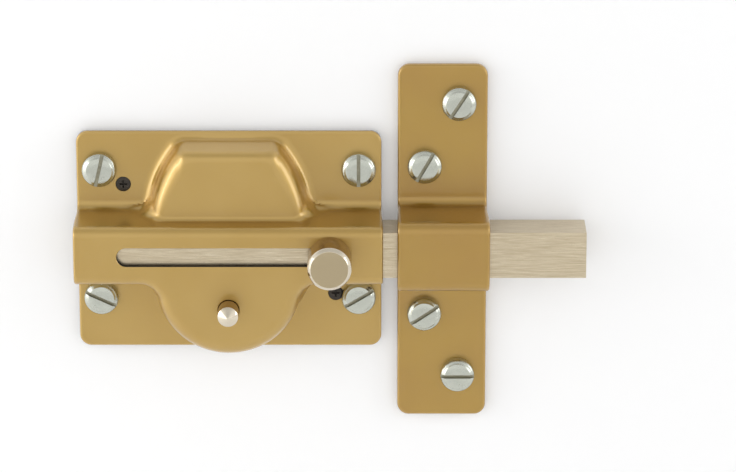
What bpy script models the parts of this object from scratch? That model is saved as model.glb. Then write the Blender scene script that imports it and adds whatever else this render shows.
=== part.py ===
"""Surface sliding bolt for a door: stamped case, square bar with a knob, locking button, separate keeper.

The door's face is the plane y = 0 and the bolt stands off it towards -Y. +Z is up, and +X is the way the bar
is thrown. The origin is on the back plate, in the middle of the case's width and on the bar's centre line.
Sizes below are in millimetres: (x, z) is a place on the door's face, and a depth is a distance off the door.
"""

import math

import bmesh
import bpy
from mathutils import Vector

MM = 0.001
GAP = 0.3                       # left between pieces that touch on the real bolt

# Case: back plate, and the cover stamped from one sheet
CASE_LEFT, CASE_RIGHT = -50.0, 50.0
CASE_BOTTOM, CASE_TOP = -35.6, 37.6
CASE_CORNER = 3.8
SHEET = 1.6
PLATE_INSET = 0.6               # back plate inside the cover's edge
FLANGE_FRONT = 2 * SHEET + GAP  # front of the cover's flat flange

# Channel across the cover, which the bar runs in
CHANNEL_FRONT = 20.5
CHANNEL_HALF = 9.4              # half height at its front face
CHANNEL_FOOT_HALF = 11.8        # half height where it meets the flange
CHANNEL_EDGE_RADIUS = 2.0
CHANNEL_FOOT_RADIUS = 2.5
SLOT_HALF_LENGTH = 36.0
SLOT_HALF_WIDTH = 3.1

# Raised panel over the channel, and the half-round below it
HUMP_FRONT = 13.4
HUMP_TOP = 32.5
HUMP_SIDE_RADIUS = 38.0         # each side is an arc about a point past the middle
HUMP_SIDE_X, HUMP_SIDE_Z = 13.9, 8.0
HUMP_CORNER = 4.5
HUMP_BOTTOM = 5.0               # inside the channel
BULGE_Z = -9.7
BULGE_RADIUS = 22.0

# Square bar, knob and its stud
BAR_SIDE = 15.3
BAR_BACK = 3.0
BAR_FRONT = BAR_BACK + BAR_SIDE
BAR_NOSE = 115.7
BAR_EDGE = 0.45
THROW = 65.6
POCKET_HALF, POCKET_RISE = 2.8, 3.6
POCKET_BACK, POCKET_FRONT = BAR_BACK + 1.2, 11.4
KNOB_X = THROW / 2
KNOB_RADIUS, KNOB_FACE_RADIUS = 7.1, 6.1
KNOB_BACK, KNOB_FRONT = CHANNEL_FRONT + GAP, 33.6
KNOB_CHAMFER_DEPTH = 1.0
STUD_RADIUS = 2.5
STUD_IN_BAR, STUD_IN_KNOB = 7.0, 6.0

# Saddles that carry the bar, each by its left end
GUIDES = {"left": -42.0, "right": 30.0}
GUIDE_LENGTH, GUIDE_SHEET, GUIDE_FRONT = 12.0, 1.1, 9.0

# Push button, and the lever that locks the bar
BUTTON_Z = -17.8
BUTTON_RADIUS = 3.3
BUTTON_HOLE_RADIUS = BUTTON_RADIUS + GAP
BUTTON_SHOULDER, BUTTON_TIP = 27.7, 29.9
BUTTON_STROKE = 3.0
STEM_RADIUS, GROOVE_RADIUS = 2.0, 2.6
BUTTON_BODY_BACK = 16.5
CLIP_BACK, CLIP_FRONT, CLIP_RADIUS = 17.7, 18.4, 5.2
PIVOT_Z, PIVOT_DEPTH = -11.0, 12.0
PIN_RADIUS = 1.5
LEVER_HALF_THICK = 2.0
EAR_INNER, EAR_OUTER = 2.4, 3.6

# Screws, with slotted pan heads, and the small cross-recess screws that close the case
HEAD_RADIUS, HEAD_HEIGHT = 5.6, 3.3
SHANK_RADIUS, SHANK_LENGTH = 2.75, 25.0
SLOT_WIDTH, SLOT_DEPTH = 1.4, 1.5
HOLE_RADIUS = 3.3
COVER_SCREW_HEAD, COVER_SCREW_SHANK = 2.45, 1.5
RIVET_HEAD, RIVET_SHANK = 2.2, 1.2

CASE_SCREWS = {
    "upper_left": (-42.1, 25.0, 77),
    "upper_right": (42.1, 25.0, 90),
    "lower_left": (-42.1, -18.5, -25),
    "lower_right": (42.1, -18.5, 31),
}
COVER_SCREWS = {"upper": (-34.4, 19.8), "lower": (34.6, -17.4)}

# Keeper: a strip bent into a bridge over the bar, with two flanges
KEEPER_LEFT, KEEPER_RIGHT = 54.8, 83.9
KEEPER_BOTTOM, KEEPER_TOP = -60.0, 59.7
KEEPER_SHEET = 2.75
KEEPER_FRONT = 22.0
KEEPER_HALF, KEEPER_FOOT_HALF = 11.5, 12.8
KEEPER_SCREWS = {
    "top": (74.6, 47.0, 57),
    "upper": (63.6, 25.9, 60),
    "lower": (63.6, -24.4, 34),
    "bottom": (74.6, -45.6, 0),
}

# Pieces riveted to the back plate, with a friction brake above the bar
BRAKE_DEPTH = 7.0               # the middle of its shoe and spring
BRAKE_RIVET_X, BRAKE_RIVET_Z = 12.0, 16.0
LEVER_RIVET_X = 7.2
DETENT_RIVET_Z = -24.5
FOOT_BACK = SHEET + GAP         # back of every piece that stands on the back plate
FOOT_SHEET = 1.2

GILT = ("gilt_lacquer", (0.48, 0.32, 0.10), 0.32, 0.85)
NICKEL = ("brushed_nickel", (0.72, 0.66, 0.55), 0.30, 1.0)
ZINC = ("zinc_plate", (0.62, 0.63, 0.58), 0.25, 1.0)
BLACK = ("black_oxide", (0.03, 0.028, 0.025), 0.45, 0.6)
STEEL = ("plain_steel", (0.42, 0.42, 0.43), 0.40, 1.0)
SPRING = ("spring_steel", (0.30, 0.31, 0.34), 0.35, 1.0)
NYLON = ("nylon", (0.80, 0.78, 0.72), 0.55, 0.0)


def at(x, z, depth):
    """A point of the bolt, in metres."""
    return Vector((x, -depth, z)) * MM


def material(finish):
    name, colour, roughness, metallic = finish
    found = bpy.data.materials.get(name)
    if found:
        return found
    made = bpy.data.materials.new(name)
    made.use_nodes = True
    shader = made.node_tree.nodes["Principled BSDF"]
    shader.inputs["Base Color"].default_value = (*colour, 1.0)
    shader.inputs["Roughness"].default_value = roughness
    shader.inputs["Metallic"].default_value = metallic
    return made


def add(name, rings, finish, origin=(0.0, 0.0, 0.0), smooth=True):
    """An object through rings of points, closed by a face at each end, with its origin at a point in mm."""
    mesh = bpy.data.meshes.new(name)
    model = bmesh.new()
    centre = at(*origin)
    loops = [[model.verts.new(point - centre) for point in ring] for ring in rings]
    for low, high in zip(loops, loops[1:]):
        for i, vertex in enumerate(low):
            j = (i + 1) % len(low)
            model.faces.new((vertex, low[j], high[j], high[i]))
    model.faces.new(reversed(loops[0]))
    model.faces.new(loops[-1])
    bmesh.ops.recalc_face_normals(model, faces=model.faces)
    model.to_mesh(mesh)
    model.free()
    if smooth:
        mesh.shade_smooth()
        mesh.set_sharp_from_angle(angle=math.radians(35))
    piece = bpy.data.objects.new(name, mesh)
    piece.location = centre
    mesh.materials.append(material(finish))
    bpy.context.scene.collection.objects.link(piece)
    return piece


def plate(name, outline, back, front, finish, origin=(0.0, 0.0, 0.0)):
    """A flat piece parallel to the door, from an outline of (x, z)."""
    return add(name, [[at(x, z, depth) for x, z in outline] for depth in (back, front)], finish, origin)


def section(name, outline, left, right, finish, origin=(0.0, 0.0, 0.0)):
    """A piece of constant section along X, from an outline of (z, depth)."""
    return add(name, [[at(x, z, depth) for z, depth in outline] for x in (left, right)], finish, origin)


def block(name, low, high, finish, origin=(0.0, 0.0, 0.0)):
    """A box between two corners, each (x, z, depth)."""
    outline = [(low[0], low[1]), (high[0], low[1]), (high[0], high[1]), (low[0], high[1])]
    return plate(name, outline, low[2], high[2], finish, origin)


def turned(name, profile, x, z, finish, sides=32):
    """A piece turned about a line square to the door, from a profile of (radius, depth)."""
    rings = [
        [at(x + radius * math.cos(turn), z + radius * math.sin(turn), depth)
         for turn in (2 * math.pi * i / sides for i in range(sides))]
        for radius, depth in profile
    ]
    return add(name, rings, finish, (x, z, 0.0))


def rounded(corners, steps=5):
    """An outline from (a, b, radius) corners, with an arc wherever the radius isn't zero."""
    outline = []
    for i, (a, b, radius) in enumerate(corners):
        here = Vector((a, b))
        before = (Vector(corners[i - 1][:2]) - here).normalized()
        after = (Vector(corners[(i + 1) % len(corners)][:2]) - here).normalized()
        if radius == 0:
            outline.append((a, b))
            continue
        half = before.angle(after) / 2
        middle = here + (before + after).normalized() * radius / math.sin(half)
        start = here + before * radius / math.tan(half) - middle
        end = here + after * radius / math.tan(half) - middle
        sweep = start.angle_signed(end)
        for step in range(steps + 1):
            turn = -sweep * step / steps
            outline.append((
                middle.x + start.x * math.cos(turn) - start.y * math.sin(turn),
                middle.y + start.x * math.sin(turn) + start.y * math.cos(turn),
            ))
    return outline


def rounded_plate(left, right, bottom, top, radius):
    corners = ((left, bottom), (right, bottom), (right, top), (left, top))
    return rounded([(x, z, radius) for x, z in corners])


def combine(piece, other, operation):
    """Cuts, joins or trims a piece with another, which is kept as a hidden guide."""
    modifier = piece.modifiers.new(f"{operation.lower()}_{other.name}", "BOOLEAN")
    modifier.operation = operation
    modifier.object = other
    other.hide_render = True
    other.display_type = "WIRE"


def cut(piece, *cutters):
    for cutter in cutters:
        combine(piece, cutter, "DIFFERENCE")


def join(piece, *others):
    for other in others:
        combine(piece, other, "UNION")


def drill(piece, x, z, radius, back, front, sides=20):
    """A round hole square to the door."""
    cut(piece, turned(f"{piece.name}_hole", [(radius, back), (radius, front)], x, z, STEEL, sides))


# ---------------------------------------------------------------- case

def channel_half(depth, inset=0.0):
    """Half the channel's height at a depth, inside the sheet by inset."""
    slope = (CHANNEL_FOOT_HALF - CHANNEL_HALF) / (CHANNEL_FRONT - FLANGE_FRONT)
    return CHANNEL_HALF + (CHANNEL_FRONT - depth) * slope - inset * math.hypot(1, slope)


def hump(name, profile):
    """The raised panel as a solid, from a profile of (depth, growth of its outline)."""
    rings = []
    for depth, grow in profile:
        radius, top = HUMP_SIDE_RADIUS + grow, HUMP_TOP + grow
        corner_turn = math.asin((top - HUMP_SIDE_Z) / radius)
        turns = [corner_turn * 0.86 * i / 6 for i in range(7)]
        side = [
            (radius * math.cos(turn) - HUMP_SIDE_X, HUMP_SIDE_Z + radius * math.sin(turn), 0) for turn in turns
        ]
        corner = (radius * math.cos(corner_turn) - HUMP_SIDE_X, top, HUMP_CORNER + grow)
        half = [(side[0][0], HUMP_BOTTOM, 0), *side, corner]
        outline = rounded(half + [(-x, z, bend) for x, z, bend in reversed(half)], steps=6)
        rings.append([at(x, z, depth) for x, z in outline])
    return add(name, rings, GILT)


def bulge(name, profile, steps=24):
    """The half-round as a solid, from a profile of (depth, radius)."""
    rings = []
    for depth, radius in profile:
        turns = [math.pi + math.pi * i / steps for i in range(steps + 1)]
        outline = [(-radius, 0.0)]
        outline += [(radius * math.cos(turn), BULGE_Z + radius * math.sin(turn)) for turn in turns]
        outline.append((radius, 0.0))
        rings.append([at(x, z, depth) for x, z in outline])
    return add(name, rings, GILT)


def case_cover():
    """One stamped sheet: a flange, the channel, the raised panel and the half-round, hollow behind."""
    outer = rounded([
        (CASE_BOTTOM, FOOT_BACK, 0),
        (CASE_BOTTOM, FLANGE_FRONT, 0),
        (-CHANNEL_FOOT_HALF, FLANGE_FRONT, CHANNEL_FOOT_RADIUS),
        (-CHANNEL_HALF, CHANNEL_FRONT, CHANNEL_EDGE_RADIUS),
        (CHANNEL_HALF, CHANNEL_FRONT, CHANNEL_EDGE_RADIUS),
        (CHANNEL_FOOT_HALF, FLANGE_FRONT, CHANNEL_FOOT_RADIUS),
        (CASE_TOP, FLANGE_FRONT, 0),
        (CASE_TOP, FOOT_BACK, 0),
    ])
    cover = section("case_cover", outer, CASE_LEFT, CASE_RIGHT, GILT)
    corners = rounded_plate(CASE_LEFT - 0.01, CASE_RIGHT + 0.01, CASE_BOTTOM, CASE_TOP, CASE_CORNER)
    combine(cover, plate("cover_outline", corners, 0, CHANNEL_FRONT + 5, GILT), "INTERSECT")
    join(
        cover,
        hump("hump_outside", [
            (FOOT_BACK + 0.1, 3.9), (FLANGE_FRONT + 0.1, 3.9), (FLANGE_FRONT + 0.8, 2.9), (5.4, 2.3),
            (11.2, 0.9), (12.8, 0.2), (HUMP_FRONT, -1.2),
        ]),
        bulge("bulge_outside", [
            (FOOT_BACK + 0.1, 23.6), (FLANGE_FRONT + 0.1, 23.6), (FLANGE_FRONT + 0.8, 22.9), (6.0, 22.5),
            (15.8, BULGE_RADIUS), (18.5, 20.9), (19.9, 19.2), (CHANNEL_FRONT - 0.02, 17.3),
        ]),
    )
    inside = CHANNEL_FRONT - SHEET
    hollow = rounded([
        (-channel_half(1.0, SHEET), 1.0, 0),
        (-channel_half(inside, SHEET), inside, 0.4),
        (channel_half(inside, SHEET), inside, 0.4),
        (channel_half(1.0, SHEET), 1.0, 0),
    ], steps=2)
    cut(
        cover,
        section("channel_inside", hollow, CASE_LEFT - 1, CASE_RIGHT + 1, GILT),
        hump("hump_inside", [
            (1.1, 2.2), (3.0, 1.6), (4.2, 0.9), (10.2, -0.5), (11.4, -1.2), (HUMP_FRONT - SHEET, -2.2),
        ]),
        bulge("bulge_inside", [
            (1.2, 21.9), (4.5, 21.0), (15.6, 20.4), (18.0, 19.0), (inside - 0.02, 16.6),
        ]),
        plate("cover_slot", rounded_plate(
            -SLOT_HALF_LENGTH, SLOT_HALF_LENGTH, -SLOT_HALF_WIDTH, SLOT_HALF_WIDTH, SLOT_HALF_WIDTH - 0.001,
        ), inside - 1, CHANNEL_FRONT + 1, GILT),
    )
    drill(cover, 0, BUTTON_Z, BUTTON_HOLE_RADIUS, inside - 1, CHANNEL_FRONT + 1, 28)
    for x, z, _ in CASE_SCREWS.values():
        drill(cover, x, z, HOLE_RADIUS, 0, FLANGE_FRONT + 1)
    for name, (x, z) in COVER_SCREWS.items():
        sink = [
            (COVER_SCREW_SHANK + GAP, 0),
            (COVER_SCREW_SHANK + GAP, FLANGE_FRONT - 1.0),
            (COVER_SCREW_HEAD + GAP, FLANGE_FRONT),
            (COVER_SCREW_HEAD + GAP, FLANGE_FRONT + 1),
        ]
        cut(cover, turned(f"countersink_{name}", sink, x, z, GILT, 20))


def back_plate():
    """The flat plate against the door, with a hole for every screw and rivet."""
    outline = rounded_plate(
        CASE_LEFT + PLATE_INSET, CASE_RIGHT - PLATE_INSET,
        CASE_BOTTOM + PLATE_INSET, CASE_TOP - PLATE_INSET, CASE_CORNER - PLATE_INSET,
    )
    back = plate("back_plate", outline, 0, SHEET, STEEL)
    for x, z, _ in CASE_SCREWS.values():
        drill(back, x, z, HOLE_RADIUS, -1, SHEET + 1)
    for x, z in COVER_SCREWS.values():
        drill(back, x, z, COVER_SCREW_SHANK + GAP, -1, SHEET + 1, 16)
    for x, z in rivet_places():
        drill(back, x, z, RIVET_SHANK + GAP, -1, SHEET + 1, 12)


def bar_guides():
    """Two U-shaped saddles that carry the bar at either end of the case."""
    inner, outer = BAR_SIDE / 2 + GAP, BAR_SIDE / 2 + GAP + GUIDE_SHEET
    floor, top = BAR_BACK - GAP, GUIDE_FRONT
    outline = [
        (-outer, FOOT_BACK), (outer, FOOT_BACK), (outer, top), (inner, top),
        (inner, floor), (-inner, floor), (-inner, top), (-outer, top),
    ]
    for name, left in GUIDES.items():
        section(f"bar_guide_{name}", outline, left, left + GUIDE_LENGTH, STEEL)


# ---------------------------------------------------------------- screws and rivets

def slotted_screw(name, x, z, seat, turn):
    """A pan-head screw: rounded shoulder, straight slot, and a plain shank with a point."""
    base, tip = seat + GAP, seat + GAP - SHANK_LENGTH
    top = base + HEAD_HEIGHT
    screw = turned(name, [
        (0.4, tip), (SHANK_RADIUS, tip + 5.0), (SHANK_RADIUS, base), (HEAD_RADIUS, base),
        (HEAD_RADIUS, base + 1.6), (HEAD_RADIUS - 0.35, top - 0.8), (HEAD_RADIUS - 1.3, top),
    ], x, z, ZINC, 24)
    half = SLOT_WIDTH / 2
    driver = block(f"{name}_slot", (-8, -half, top - SLOT_DEPTH), (8, half, top + 1), ZINC)
    driver.location = at(x, z, 0)
    driver.rotation_euler = (0, -math.radians(turn), 0)
    cut(screw, driver)


def cover_screw(name, x, z):
    """A small countersunk screw with a cross recess, its head flush with the cover."""
    screw = turned(name, [
        (COVER_SCREW_SHANK, GAP), (COVER_SCREW_SHANK, FLANGE_FRONT - 0.95), (COVER_SCREW_HEAD, FLANGE_FRONT),
    ], x, z, BLACK, 20)
    for i, (wide, high) in enumerate(((1.4, 0.3), (0.3, 1.4))):
        low, high_corner = (x - wide, z - high, FLANGE_FRONT - 0.8), (x + wide, z + high, FLANGE_FRONT + 1)
        cut(screw, block(f"{name}_recess_{i}", low, high_corner, BLACK))


def rivet(name, x, z, seat):
    """A flat-headed rivet whose shank ends level with the back plate."""
    turned(name, [
        (RIVET_SHANK, 0.1), (RIVET_SHANK, seat + GAP), (RIVET_HEAD, seat + GAP),
        (RIVET_HEAD, seat + 0.9), (RIVET_HEAD - 0.6, seat + 1.3),
    ], x, z, STEEL, 12)


def rivet_places():
    return [
        (-BRAKE_RIVET_X, BRAKE_RIVET_Z), (BRAKE_RIVET_X, BRAKE_RIVET_Z),
        (-LEVER_RIVET_X, PIVOT_Z), (LEVER_RIVET_X, PIVOT_Z), (0.0, DETENT_RIVET_Z),
    ]


def fasteners():
    for name, (x, z, turn) in CASE_SCREWS.items():
        slotted_screw(f"case_screw_{name}", x, z, FLANGE_FRONT, turn)
    for name, (x, z, turn) in KEEPER_SCREWS.items():
        slotted_screw(f"keeper_screw_{name}", x, z, KEEPER_SHEET, turn)
    for name, (x, z) in COVER_SCREWS.items():
        cover_screw(f"cover_screw_{name}", x, z)
    names = ("brake_rivet_left", "brake_rivet_right", "lever_rivet_left", "lever_rivet_right", "detent_rivet")
    seats = (FOOT_BACK + FOOT_SHEET,) * 4 + (FOOT_BACK + 0.5,)
    for name, (x, z), seat in zip(names, rivet_places(), seats):
        rivet(name, x, z, seat)


# ---------------------------------------------------------------- keeper

def keeper():
    """A thick strip bent over the bar: two flanges on the frame and a bridge between them."""
    slope = (KEEPER_FOOT_HALF - KEEPER_HALF) / (KEEPER_FRONT - KEEPER_SHEET)
    inner_half = KEEPER_HALF + KEEPER_SHEET * (slope - math.hypot(1, slope))
    inner_foot = inner_half + (KEEPER_FRONT - KEEPER_SHEET) * slope
    outline = rounded([
        (KEEPER_BOTTOM, 0, 0),
        (KEEPER_BOTTOM, KEEPER_SHEET, 0),
        (-KEEPER_FOOT_HALF, KEEPER_SHEET, 2.5),
        (-KEEPER_HALF, KEEPER_FRONT, 3.0),
        (KEEPER_HALF, KEEPER_FRONT, 3.0),
        (KEEPER_FOOT_HALF, KEEPER_SHEET, 2.5),
        (KEEPER_TOP, KEEPER_SHEET, 0),
        (KEEPER_TOP, 0, 0),
        (inner_foot, 0, 0),
        (inner_half, KEEPER_FRONT - KEEPER_SHEET, 0.6),
        (-inner_half, KEEPER_FRONT - KEEPER_SHEET, 0.6),
        (-inner_foot, 0, 0),
    ])
    strip = section("keeper", outline, KEEPER_LEFT, KEEPER_RIGHT, GILT)
    corners = rounded_plate(KEEPER_LEFT - 0.01, KEEPER_RIGHT + 0.01, KEEPER_BOTTOM, KEEPER_TOP, CASE_CORNER)
    combine(strip, plate("keeper_outline", corners, -1, KEEPER_FRONT + 5, GILT), "INTERSECT")
    for x, z, _ in KEEPER_SCREWS.values():
        drill(strip, x, z, HOLE_RADIUS, -1, KEEPER_SHEET + 1)


# ---------------------------------------------------------------- bar and knob

def bolt_bar():
    """The square bar, with a tapped hole for the knob and a locking pocket for each end of its travel."""
    half = BAR_SIDE / 2
    outline = rounded([
        (-half, BAR_BACK, BAR_EDGE), (half, BAR_BACK, BAR_EDGE),
        (half, BAR_FRONT, BAR_EDGE), (-half, BAR_FRONT, BAR_EDGE),
    ], steps=2)
    bar = section("bolt_bar", outline, CASE_LEFT, BAR_NOSE, NICKEL)
    drill(bar, KNOB_X, 0, STUD_RADIUS + GAP, BAR_FRONT - STUD_IN_BAR, BAR_FRONT + 1)
    for i, x in enumerate((0.0, THROW)):
        low = (x - POCKET_HALF, -half - 1, POCKET_BACK)
        high = (x + POCKET_HALF, -half + POCKET_RISE, POCKET_FRONT)
        cut(bar, block(f"pocket_{i}", low, high, NICKEL))


def knob():
    """The turned knob on the bar's front, and the stud that joins them through the slot."""
    bore, depth = STUD_RADIUS + GAP, KNOB_BACK + STUD_IN_KNOB
    body = turned("knob", [
        (KNOB_RADIUS - 0.4, KNOB_BACK), (KNOB_RADIUS, KNOB_BACK + 0.4),
        (KNOB_RADIUS, KNOB_FRONT - KNOB_CHAMFER_DEPTH), (KNOB_FACE_RADIUS, KNOB_FRONT),
    ], KNOB_X, 0, NICKEL, 40)
    drill(body, KNOB_X, 0, bore, KNOB_BACK - 1, depth)
    turned("knob_stud", [
        (STUD_RADIUS, BAR_FRONT - STUD_IN_BAR + GAP), (STUD_RADIUS, depth - GAP),
    ], KNOB_X, 0, STEEL, 20)


# ---------------------------------------------------------------- button and catch

def push_button():
    """The pointed button, with a groove for its clip and a stem that bears on the lever."""
    turned("push_button", [
        (1.0, 13.3), (STEM_RADIUS, 14.2), (STEM_RADIUS, BUTTON_BODY_BACK), (BUTTON_RADIUS, BUTTON_BODY_BACK),
        (BUTTON_RADIUS, CLIP_BACK - GAP), (GROOVE_RADIUS, CLIP_BACK - GAP),
        (GROOVE_RADIUS, CLIP_FRONT + GAP), (BUTTON_RADIUS, CLIP_FRONT + GAP),
        (BUTTON_RADIUS, BUTTON_SHOULDER), (0.35, BUTTON_TIP - 0.1),
    ], 0, BUTTON_Z, NICKEL, 24)


def button_clip():
    """An open ring in the button's groove that keeps it in the cover."""
    inner, outer = GROOVE_RADIUS + GAP, CLIP_RADIUS
    turns = [math.radians(-240 + 300 * i / 20) for i in range(21)]
    outline = [(outer * math.cos(turn), BUTTON_Z + outer * math.sin(turn)) for turn in turns]
    outline += [(inner * math.cos(turn), BUTTON_Z + inner * math.sin(turn)) for turn in reversed(turns)]
    plate("button_clip", outline, CLIP_BACK, CLIP_FRONT, SPRING, (0.0, BUTTON_Z, 0.0))


def catch_lever():
    """A bell crank: the button pushes its lower arm to the door, and its nose rises into the bar's pocket."""
    shape = [
        (-1.0, -8.3), (1.0, -8.3), (1.0, -2.2), (2.2, -1.0), (2.2, 1.0), (1.0, 2.2),
        (-1.0, 2.2), (-2.4, 1.2), (-4.8, 1.2), (-4.8, 2.9), (-7.5, 2.9), (-7.5, -1.2), (-2.4, -1.2),
        (-1.0, -2.2),
    ]
    outline = [(PIVOT_Z + up, PIVOT_DEPTH + out) for out, up in shape]
    lever = section(
        "catch_lever", outline, -LEVER_HALF_THICK, LEVER_HALF_THICK, STEEL, (0.0, PIVOT_Z, PIVOT_DEPTH),
    )
    cut(lever, across("lever_bore", PIN_RADIUS + GAP, 6.0))


def across(name, radius, half_length, sides=16):
    """A round bar along X through the lever's pivot."""
    outline = [
        (PIVOT_Z + radius * math.sin(turn), PIVOT_DEPTH + radius * math.cos(turn))
        for turn in (2 * math.pi * i / sides for i in range(sides))
    ]
    return section(name, outline, -half_length, half_length, STEEL)


def lever_bracket():
    """Two ears for the lever's pin on a foot riveted to the back plate."""
    foot_front = FOOT_BACK + FOOT_SHEET
    bracket = block("lever_bracket", (-10.0, -13.5, FOOT_BACK), (10.0, -8.4, foot_front), STEEL)
    for side in (-1, 1):
        low, high = sorted((side * EAR_INNER, side * EAR_OUTER))
        join(bracket, block(f"ear_{side}", (low, -13.6, FOOT_BACK + 0.1), (high, -8.5, 14.2), STEEL))
    cut(bracket, across("ear_bore", PIN_RADIUS + GAP, 6.0))
    for side in (-1, 1):
        drill(bracket, side * LEVER_RIVET_X, PIVOT_Z, RIVET_SHANK + GAP, 0, foot_front + 1, 12)
    across("lever_pin", PIN_RADIUS, 4.2)


def detent_spring():
    """A leaf standing on the back plate, whose crest holds the lever's lower arm in or out."""
    thick, heel = 0.5, -20.8
    upright = [(heel, FOOT_BACK + 0.1), (heel, 8.6), (heel + 0.55, 10.1), (heel, 11.6), (heel + 0.2, 13.4)]
    upright += [(z + thick, depth) for z, depth in reversed(upright)]
    foot = [
        (-28.0, FOOT_BACK), (heel + thick - 0.1, FOOT_BACK),
        (heel + thick - 0.1, FOOT_BACK + thick), (-28.0, FOOT_BACK + thick),
    ]
    spring = section("detent_spring", foot, -2.5, 2.5, SPRING)
    join(spring, section("detent_upright", upright, -2.0, 2.0, SPRING))
    drill(spring, 0, DETENT_RIVET_Z, RIVET_SHANK + GAP, 0, 4, 12)


# ---------------------------------------------------------------- brake

def brake():
    """A sprung shoe that presses on the bar's top face, so that the bar stays where it is put."""
    foot_front, top = FOOT_BACK + FOOT_SHEET, BRAKE_DEPTH + 3.5
    bracket = block("brake_bracket", (-15.0, 12.0, FOOT_BACK), (15.0, 20.0, foot_front), STEEL)
    for side in (-1, 1):
        low, high = sorted((side * 7.4, side * 8.6))
        join(bracket, block(f"brake_ear_{side}", (low, 9.5, FOOT_BACK + 0.1), (high, 20.1, top), STEEL))
    join(bracket, block("brake_roof", (-8.5, 18.8, FOOT_BACK + 0.1), (8.5, 20.05, top - 0.05), STEEL))
    for side in (-1, 1):
        drill(bracket, side * BRAKE_RIVET_X, BRAKE_RIVET_Z, RIVET_SHANK + GAP, 0, foot_front + 1, 12)
    shoe_top = 11.5
    block("brake_shoe", (-7.0, BAR_SIDE / 2 + GAP, BRAKE_DEPTH - 3), (7.0, shoe_top, BRAKE_DEPTH + 3), NYLON)
    brake_spring(shoe_top + GAP, 18.8 - GAP)


def brake_spring(bottom, top, turns=4, mean=2.6, wire=0.35, steps=12, sides=6):
    """A coil along Z between the shoe and the bracket's roof."""
    rings = []
    low, high = bottom + wire, top - wire
    for i in range(turns * steps + 1):
        turn = 2 * math.pi * i / steps
        height = low + (high - low) * i / (turns * steps)
        ring = []
        for j in range(sides):
            round_wire = 2 * math.pi * j / sides
            out = mean + wire * math.cos(round_wire)
            ring.append(at(
                out * math.cos(turn),
                height + wire * math.sin(round_wire),
                BRAKE_DEPTH + out * math.sin(turn),
            ))
        rings.append(ring)
    add("brake_spring", rings, SPRING)


def main():
    for piece in list(bpy.data.objects):
        bpy.data.objects.remove(piece, do_unlink=True)
    case_cover()
    back_plate()
    bar_guides()
    fasteners()
    keeper()
    bolt_bar()
    knob()
    push_button()
    button_clip()
    catch_lever()
    lever_bracket()
    detent_spring()
    brake()


main()
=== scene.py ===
"""Looks for the surface sliding bolt: pressed cover and keeper, turned nickel, screws, finishes and a studio.

The door's face is the plane y = 0, the bolt stands off it towards -Y, +Z is up and +X is the way it is
thrown. Shapes are worked out in millimetres as (x, z, depth), a depth being a distance off the door. That has
the same handedness as (x, -depth, z) in metres, so faces keep their outward side.
"""

import math
import types

import bpy
import numpy as np
from mathutils import Matrix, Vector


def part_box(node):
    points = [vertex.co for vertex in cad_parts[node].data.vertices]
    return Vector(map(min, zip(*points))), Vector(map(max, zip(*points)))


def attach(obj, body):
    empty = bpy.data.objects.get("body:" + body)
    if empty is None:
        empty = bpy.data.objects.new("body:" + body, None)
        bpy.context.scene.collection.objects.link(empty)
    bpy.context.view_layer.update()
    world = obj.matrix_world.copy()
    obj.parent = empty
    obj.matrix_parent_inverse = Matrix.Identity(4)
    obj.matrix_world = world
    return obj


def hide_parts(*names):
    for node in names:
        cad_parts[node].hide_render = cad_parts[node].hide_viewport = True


bl_info = {
    "name": "Surface Sliding Bolt",
    "version": (1, 0, 0),
    "blender": (4, 5, 0),
    "location": "View3D > Sidebar > Bolt",
    "description": "Builds the fine surfaces, finishes and studio of a surface sliding bolt",
    "category": "Add Mesh",
}

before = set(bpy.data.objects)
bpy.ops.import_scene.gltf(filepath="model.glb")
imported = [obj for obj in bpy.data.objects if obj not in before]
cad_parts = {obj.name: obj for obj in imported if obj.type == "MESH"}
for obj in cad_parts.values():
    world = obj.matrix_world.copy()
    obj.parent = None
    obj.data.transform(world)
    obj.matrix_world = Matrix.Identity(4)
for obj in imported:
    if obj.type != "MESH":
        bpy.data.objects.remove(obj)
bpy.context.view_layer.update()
MM = 0.001


class Extent:
    """A CAD node's box in millimetres, with depths measured off the door."""

    def __init__(self, node):
        low, high = (np.array(corner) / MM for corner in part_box(node))
        self.left, self.right = low[0], high[0]
        self.back, self.front = -high[1], -low[1]
        self.bottom, self.top = low[2], high[2]
        self.x = (self.left + self.right) / 2
        self.z = (self.bottom + self.top) / 2


COVER = Extent("case_cover")
KEEPER = Extent("keeper")
BAR = Extent("bolt_bar")
KNOB = Extent("knob")
BUTTON = Extent("push_button")


# ------------------------------------------------------------ sizes and colours a user would change

def length(name, description, millimetres):
    """A size, given in millimetres and kept in metres."""
    return bpy.props.FloatProperty(
        name=name, description=description, default=millimetres * MM, min=0.0, precision=5,
        subtype="DISTANCE", unit="LENGTH",
    )


def in_millimetres(group):
    """A group's sizes as plain numbers in millimetres."""
    names = [name for name in group.bl_rna.properties.keys() if name not in ("rna_type", "name")]
    return types.SimpleNamespace(**{name: round(getattr(group, name) / MM, 4) for name in names})


def linear(hex_value):
    """An sRGB hex value as linear red, green, blue and alpha."""
    parts = [int(hex_value[i:i + 2], 16) / 255 for i in (1, 3, 5)]
    return (*((part / 12.92 if part <= 0.04045 else ((part + 0.055) / 1.055) ** 2.4) for part in parts), 1.0)


def colour(name, description, hex_value):
    """A colour, given as an sRGB hex value and kept as a linear one."""
    return bpy.props.FloatVectorProperty(
        name=name, description=description, default=linear(hex_value), size=4, min=0.0, max=1.0,
        subtype="COLOR",
    )


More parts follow.
